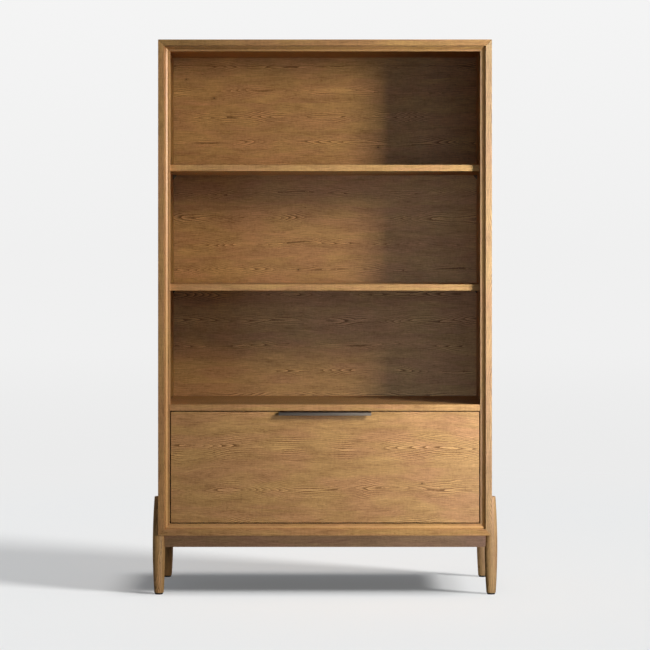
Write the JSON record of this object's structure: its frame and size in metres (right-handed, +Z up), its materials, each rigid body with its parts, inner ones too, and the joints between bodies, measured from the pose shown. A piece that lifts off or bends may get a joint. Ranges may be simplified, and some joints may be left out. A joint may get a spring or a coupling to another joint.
{
  "type": "bookcase with bottom drawer",
  "caption": "Tall open-fronted wooden bookcase with shelf bays over a wide slide-out drawer, in a mitred case with a stepped face frame, on turned legs halved round the sides.",
  "frame": {"origin": "on the floor, under the middle of the case", "axes": "+Z up, the front faces -Y, +X to the right of someone who faces the front"},
  "size_m": [1.0014, 0.4, 1.608],
  "materials": {
    "case_wood": "satin clear finish on honey-brown wood with fine wavy grain",
    "drawer_wood": "pale sanded wood, thin matt lacquer",
    "dark_metal": "satin gunmetal",
    "zinc_steel": "zinc-plated steel",
    "glide_plastic": "matt dark plastic"
  },
  "bodies": {
    "case": {"bottom_panel": "case_wood", "top_panel": "case_wood", "left_side_panel": "case_wood", "right_side_panel": "case_wood", "face_frame_bottom_rail": "case_wood", "face_frame_top_rail": "case_wood", "face_frame_left_stile": "case_wood", "face_frame_right_stile": "case_wood", "back_panel": "case_wood", "fixed_shelf": "case_wood", "middle_shelf": "case_wood", "upper_shelf": "case_wood", "middle_shelf_support_front_left": "zinc_steel", "middle_shelf_support_rear_left": "zinc_steel", "middle_shelf_support_front_right": "zinc_steel", "middle_shelf_support_rear_right": "zinc_steel", "upper_shelf_support_front_left": "zinc_steel", "upper_shelf_support_rear_left": "zinc_steel", "upper_shelf_support_front_right": "zinc_steel", "upper_shelf_support_rear_right": "zinc_steel", "front_apron": "case_wood", "rear_apron": "case_wood", "left_base_rail": "case_wood", "right_base_rail": "case_wood", "leg_front_left": "case_wood", "leg_rear_left": "case_wood", "leg_front_right": "case_wood", "leg_rear_right": "case_wood", "glide_front_left": "glide_plastic", "glide_rear_left": "glide_plastic", "glide_front_right": "glide_plastic", "glide_rear_right": "glide_plastic", "leg_bolt_front_left": "zinc_steel", "leg_bolt_rear_left": "zinc_steel", "leg_bolt_front_right": "zinc_steel", "leg_bolt_rear_right": "zinc_steel", "left_slide_spacer": "drawer_wood", "right_slide_spacer": "drawer_wood", "left_slide_outer_member": "zinc_steel", "right_slide_outer_member": "zinc_steel"},
    "drawer": {"drawer_front": "case_wood", "drawer_left_side": "drawer_wood", "drawer_right_side": "drawer_wood", "drawer_sub_front": "drawer_wood", "drawer_back": "drawer_wood", "drawer_floor": "drawer_wood", "drawer_pull": "dark_metal", "pull_screw_left": "dark_metal", "pull_screw_right": "dark_metal", "drawer_front_screw_lower_left": "zinc_steel", "drawer_front_screw_upper_left": "zinc_steel", "drawer_front_screw_lower_right": "zinc_steel", "drawer_front_screw_upper_right": "zinc_steel", "left_slide_inner_member": "zinc_steel", "right_slide_inner_member": "zinc_steel"},
    "left_slide_middle": {"left_slide_middle_member": "zinc_steel"},
    "right_slide_middle": {"right_slide_middle_member": "zinc_steel"}
  },
  "joints": [
    {"name": "drawer_slide", "type": "slide", "parent": "case", "child": "drawer", "axis": [0, -1, 0], "range_m": [0, 0.3]},
    {"name": "left_middle_slide", "type": "slide", "parent": "case", "child": "left_slide_middle", "axis": [0, -1, 0], "range_m": [0, 0.15]},
    {"name": "right_middle_slide", "type": "slide", "parent": "case", "child": "right_slide_middle", "axis": [0, -1, 0], "range_m": [0, 0.15]}
  ],
  "couplings": [
    {"joint": "left_middle_slide", "follows": "drawer_slide", "ratio": 0.5},
    {"joint": "right_middle_slide", "follows": "drawer_slide", "ratio": 0.5}
  ]
}
